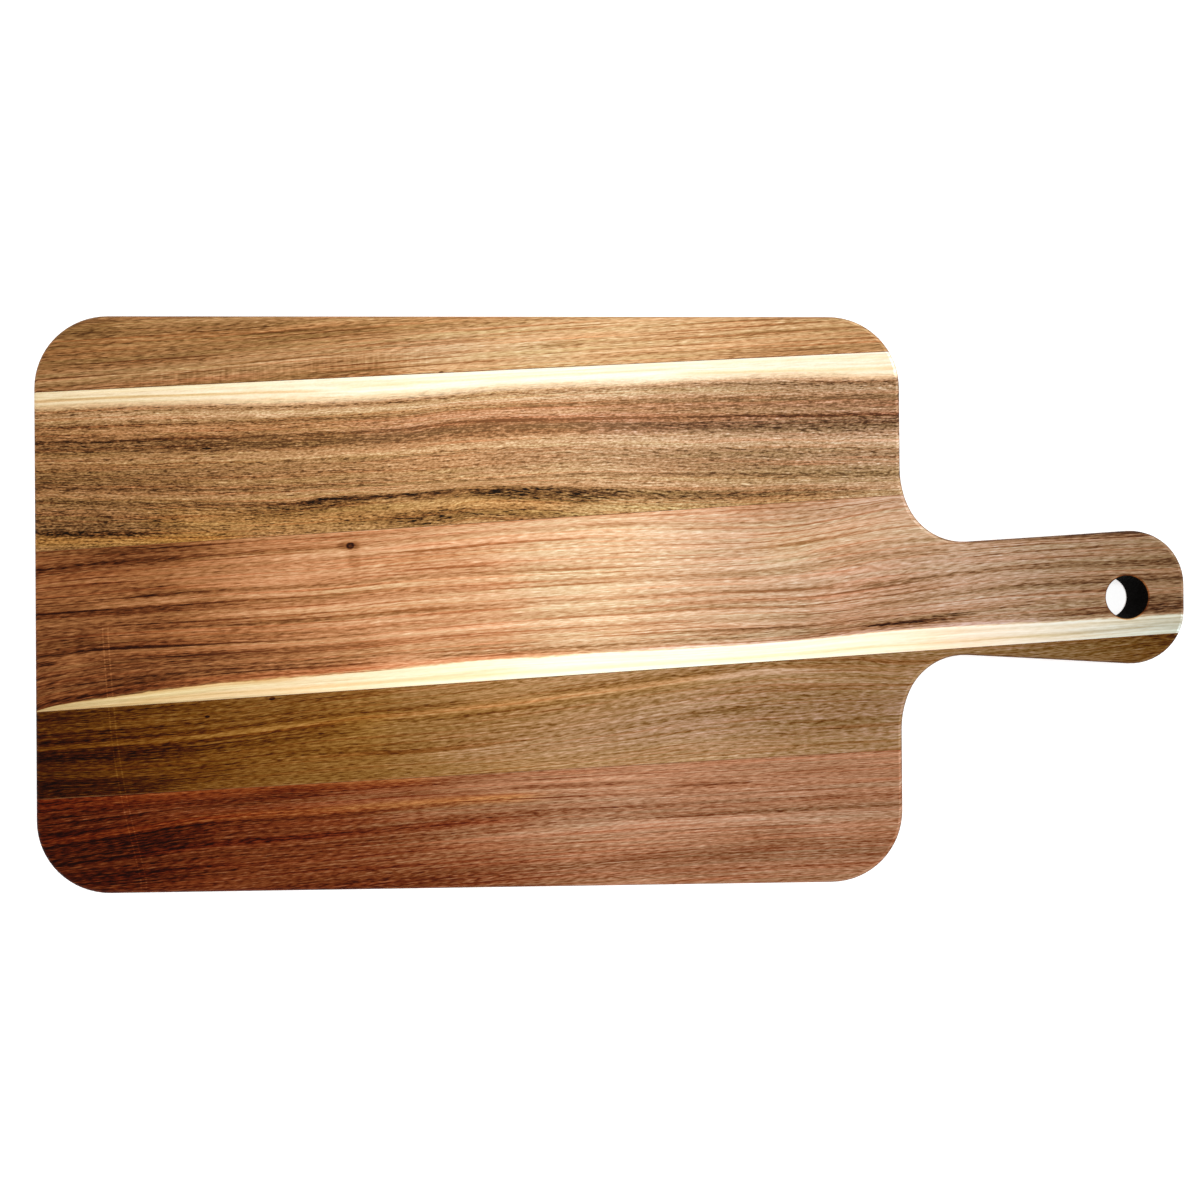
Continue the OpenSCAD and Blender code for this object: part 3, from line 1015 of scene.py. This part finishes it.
# Colour with the pale sapwood along one joint, and the warmer border between the two
def add_sapwood(tree, name, colour, cream, x, v, layer):
    edge, side, feather, raggedness = SAPWOOD[name]
    ragged = tree.times(tree.add(layer["dashes"], layer["fibres"]), raggedness)
    border = tree.add(tree.minus(v, tree.trace(x, edge)), ragged)
    share = tree.fit(tree.times(border, float(side)), -feather / 2.0, feather / 2.0, smooth=True)
    halfway = tree.times(share, tree.minus(1.0, share), BORDER_STRENGTH)
    return tree.stain(halfway, tree.blend(share, colour, cream), BORDER_STAIN)


# Colour with the darker end grain, a painted highlight on the rim beside the handle and painted shade
# along the outline
def add_edges(tree, colour, x, top_y, z, dashes):
    face_x, _, face_z = tree.facing()
    end = tree.fit(tree.absolute(face_x), *END_FACING, smooth=True)
    pores = tree.noise(*(tree.times(axis, waves) for axis, waves in zip((x, top_y, z), PORE_WAVES)))
    colour = tree.stain(tree.times(end, tree.fit(pores, *PORE_RANGE)), colour, END_STAIN)
    # Painted highlight: the rim leaning towards the handle is made paler
    rim = tree.times(tree.fit(face_z, *HIGHLIGHT_FLAT), tree.fit(face_z, *HIGHLIGHT_STEEP))
    painted_highlight = tree.times(tree.fit(face_x, *HIGHLIGHT_LEAN), rim, tree.fit(dashes, *HIGHLIGHT_BREAKS))
    colour = tree.stain(painted_highlight, colour, PAINTED_HIGHLIGHT)
    # Painted shade: the steep outermost line is made darker
    painted_outline_shade = tree.times(tree.fit(face_z, *OUTLINE_STEEP), tree.fit(face_z, *OUTLINE_UPPER))
    return tree.stain(painted_outline_shade, colour, OUTLINE_PAINTED_SHADE)


# Colour with the hole's rim and its wall painted nearly black as shade, and where that wall is
def add_hole(tree, colour, x, top_y):
    from_hole_x = tree.minus(x, HOLE_X)
    squared = tree.add(tree.times(from_hole_x, from_hole_x), tree.times(top_y, top_y))
    from_hole = tree.math("SQRT", squared)
    bevel_r = HOLE_R + HOLE_BEVEL
    rim = tree.fit(from_hole, bevel_r, bevel_r + RIM_SOFTNESS, 1.0, 0.0)
    colour = tree.stain(rim, colour, RIM_STAIN)
    inner, outer = WALL_EDGE
    wall = tree.fit(from_hole, HOLE_R + inner, HOLE_R + outer, 1.0, 0.0)
    # Painted shade: the hole's wall is coloured nearly black
    return tree.blend(wall, colour, rgb(*PAINTED_SHADE_WALL)), wall


# Wood of one stave
def wood(name, seed):
    tree = Tree(name + "_wood")
    x, top_y, z = tree.place()
    depth = tree.minus(THICKNESS, z)
    y = tree.add(top_y, tree.times(depth, LEAN[name]))
    across = across_grain(tree, name, x, y)
    along, over = SWAY_WAVES
    sway = tree.minus(tree.noise(tree.times(x, along), tree.times(across, over), seed), NOISE_MIDDLE)
    v = tree.add(across, tree.times(sway, SWAY[name]))

    layer = grain_layers(tree, name, x, v, depth, seed)
    stroke = {
        kind: tree.fit(layer[title], *span, smooth=True) for kind, (title, *span) in STROKES.items()
    }
    # Tone along the board, with painted shade towards the ends and a painted highlight near the middle
    tone_and_painted_light = tree.trace(x, TONE_AND_PAINTED_LIGHT[name])
    tone = grain_tone(tree, name, tone_and_painted_light, layer, stroke)
    lines = single_lines(tree, name, x, v)
    tone = tree.add(tone, tree.times(lines, tree.fit(layer["dashes"], *LINE_BREAKS)))
    tone = tree.math("SMOOTH_MAX", tone, tree.add(tone_and_painted_light, -DEEPEST), DEEPEST_BLEND)
    tone = add_patches(tree, name, tone, x, v, layer)
    tone = add_pits(tree, name, tone, x, across)
    if name in RIPPLE:
        tone = add_ripple(tree, name, tone, x, v, seed)
    tone = add_scratches(tree, tone, x, y, layer["fibres"])

    last = float(len(TONES[name]) - 1)
    colour = tree.ramp(tone, [(i / last, rgb(*shade)) for i, shade in enumerate(TONES[name])])
    hue = wandering_hue(tree, x, v, depth, seed)
    colour = stained(tree, name, colour, x, v, hue, stroke)
    if name in SAPWOOD:
        cream = cream_wood(tree, name, x, layer, stroke, lines, hue)
        colour = add_sapwood(tree, name, colour, cream, x, v, layer)
    colour = add_edges(tree, colour, x, top_y, z, layer["dashes"])
    colour, wall = add_hole(tree, colour, x, top_y)
    roughness = tree.add(tree.fit(layer["fibres"], *WOOD_ROUGHNESS), tree.times(wall, WALL_ROUGHNESS))
    height = tree.add(layer["fibres"], layer["specks"], tree.times(stroke["dark_dash"], DASH_BUMP))
    return tree.surface(colour, roughness, height, *WOOD_BUMP)


# Cured glue of the joints
def glue():
    tree = Tree("cured_glue")
    place = [tree.times(axis, waves) for axis, waves in zip(tree.place(), GLUE_WAVES)]
    cloud = tree.noise(*place, GLUE_DETAIL)
    colour = tree.ramp(cloud, [(share, rgb(*shade)) for share, shade in zip(GLUE_RANGE, GLUE_TONES)])
    return tree.surface(colour, tree.fit(cloud, *GLUE_RANGE, *GLUE_ROUGHNESS), cloud, *GLUE_BUMP)


# Gives a CAD node its material
def dress(node, material):
    node.data.materials.clear()
    node.data.materials.append(material)


# Each wood has its own seed
FIRST_SEED = 3.0
SEED_STEP = 17.0
for number, name in enumerate(STAVES):
    dress(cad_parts[name], wood(name, FIRST_SEED + SEED_STEP * number))
glue_material = glue()
for name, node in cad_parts.items():
    if name.startswith("glue_line"):
        dress(node, glue_material)

# Floor: half its side and its depth below the board in metres, and its finish
FLOOR_REACH = 3.0
FLOOR_DROP = 0.0002
FLOOR_SHADE = (0.9, 0.9, 0.9, 1.0)
FLOOR_ROUGHNESS = 0.7
FLOOR_GLOW = 0.4
WHITE = (1.0, 1.0, 1.0, 1.0)


# White floor that glows a little, as on a photographer's light table
def floor_finish():
    tree = Tree("white_floor")
    shader = tree.nodes.new("ShaderNodeBsdfPrincipled")
    shader.inputs["Base Color"].default_value = FLOOR_SHADE
    shader.inputs["Roughness"].default_value = FLOOR_ROUGHNESS
    shader.inputs["Emission Color"].default_value = WHITE
    shader.inputs["Emission Strength"].default_value = FLOOR_GLOW
    return tree.finish(shader)


floor_mesh = bpy.data.meshes.new("floor")
corners = [(-1, -1), (1, -1), (1, 1), (-1, 1)]
points = [(FLOOR_REACH * side_x, FLOOR_REACH * side_y, -FLOOR_DROP) for side_x, side_y in corners]
floor_mesh.from_pydata(points, [], [(0, 1, 2, 3)])
floor_mesh.materials.append(floor_finish())
floor = bpy.data.objects.new("floor", floor_mesh)
scene.collection.objects.link(floor)

# Strength of the light at the horizon and from straight above
SIDE_LIGHT = 1.35
TOP_LIGHT = 0.25


# Pale light from all round, stronger from the sides than from above, so that the wood keeps its depth
def studio():
    world = bpy.data.worlds.new("studio")
    world.use_nodes = True
    nodes = world.node_tree.nodes
    links = world.node_tree.links
    direction = nodes.new("ShaderNodeTexCoord")
    split = nodes.new("ShaderNodeSeparateXYZ")
    links.new(direction.outputs["Generated"], split.inputs[0])
    height = nodes.new("ShaderNodeMapRange")
    height.inputs["To Min"].default_value = SIDE_LIGHT
    height.inputs["To Max"].default_value = TOP_LIGHT
    links.new(split.outputs["Z"], height.inputs["Value"])
    links.new(height.outputs["Result"], nodes["Background"].inputs["Strength"])
    nodes["Background"].inputs["Color"].default_value = WHITE
    return world


scene.world = studio()

# Soft square lamp over the board, with its side in metres and its power in watts
LAMP_PLACE = Vector((0.03, 0.02, 0.62))
LAMP_TARGET = Vector((0.02, 0.0, 0.0))
LAMP_SIDE = 0.25
LAMP_POWER = 2.6
light = bpy.data.lights.new("key", "AREA")
light.shape = "SQUARE"
light.size = LAMP_SIDE
light.energy = LAMP_POWER
lamp = bpy.data.objects.new("key", light)
lamp.location = LAMP_PLACE
lamp.rotation_euler = (LAMP_TARGET - LAMP_PLACE).to_track_quat("-Z", "Y").to_euler()
scene.collection.objects.link(lamp)
